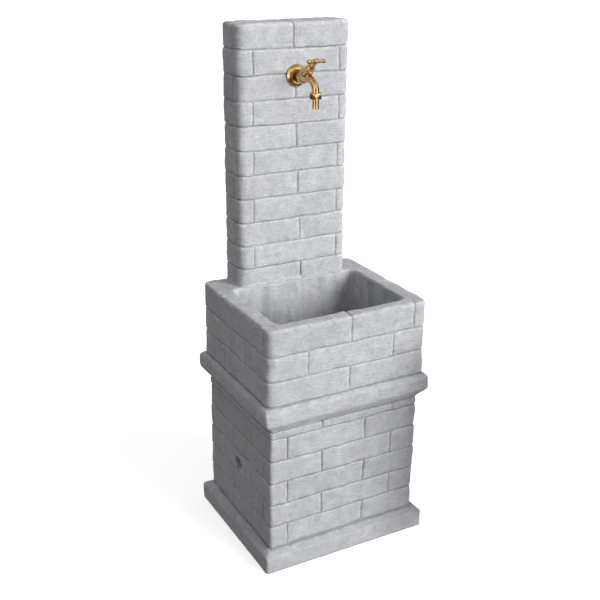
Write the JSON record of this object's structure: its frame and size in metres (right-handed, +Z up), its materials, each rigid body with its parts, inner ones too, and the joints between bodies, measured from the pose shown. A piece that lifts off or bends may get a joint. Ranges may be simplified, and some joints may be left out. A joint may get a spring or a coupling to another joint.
{
  "type": "drinking fountain",
  "caption": "Garden wall fountain in cast stone: brick-pattern pedestal, open basin and back column with a screw-down brass bib tap, supply pipe and waste.",
  "frame": {"origin": "on the ground under the middle of the base", "axes": "+Z up, +X to the right along the front, -Y towards the user, +Y towards the wall"},
  "size_m": [0.503, 0.436, 1.405],
  "materials": {
    "cast_stone": "cast concrete, rough, light grey",
    "mortar": "bedding mortar, matt, mid grey",
    "dowel_steel": "plain steel rod",
    "copper_tube": "drawn copper, slightly dull",
    "fitting_brass": "machined brass, satin",
    "tap_brass": "polished brass",
    "zinc_steel": "zinc-plated steel",
    "nylon": "grey nylon",
    "seal_rubber": "black rubber, matt",
    "packing": "braided packing",
    "fibre": "red fibre",
    "stainless": "pressed stainless steel",
    "waste_plastic": "white moulded plastic"
  },
  "bodies": {
    "fountain": {"pedestal_block": "cast_stone", "basin_block": "cast_stone", "column_block": "cast_stone", "pedestal_mortar_bed": "mortar", "column_mortar_bed": "mortar", "column_dowels": "dowel_steel", "supply_riser": "copper_tube", "elbow_fitting": "fitting_brass", "elbow_screws": "zinc_steel", "elbow_wall_plugs": "nylon", "clip_screws": "zinc_steel", "clip_wall_plugs": "nylon", "pipe_clips": "nylon", "inlet_adapter": "fitting_brass", "inlet_nut": "fitting_brass", "rosette": "tap_brass", "tap_body": "tap_brass", "bonnet_washer": "fibre", "bonnet": "tap_brass", "packing_ring": "packing", "gland_nut": "tap_brass", "hose_washer": "seal_rubber", "union_nut": "tap_brass", "hose_tail": "tap_brass", "waste_grate": "stainless", "waste_upper_gasket": "seal_rubber", "waste_lower_gasket": "seal_rubber", "waste_cup": "waste_plastic", "waste_screw": "stainless", "waste_nut": "waste_plastic", "waste_pipe": "waste_plastic"},
    "valve": {"jumper": "fitting_brass", "valve_washer": "seal_rubber", "washer_screw": "fitting_brass"},
    "stem": {"spindle": "fitting_brass", "tap_handle": "tap_brass", "handle_screw": "zinc_steel"}
  },
  "joints": [
    {"name": "valve_lift", "type": "slide", "parent": "fountain", "child": "valve", "axis": [0, -0.8192, 0.5736], "range_m": [0, 0.00301]},
    {"name": "handle_turn", "type": "hinge", "parent": "valve", "child": "stem", "pos_m": [0.003, 0.05662, 1.28147], "axis": [0, -0.8192, 0.5736], "range_deg": [0, 540]}
  ],
  "couplings": [
    {"joint": "valve_lift", "follows": "handle_turn", "m_per_rad": 0.00031831}
  ]
}
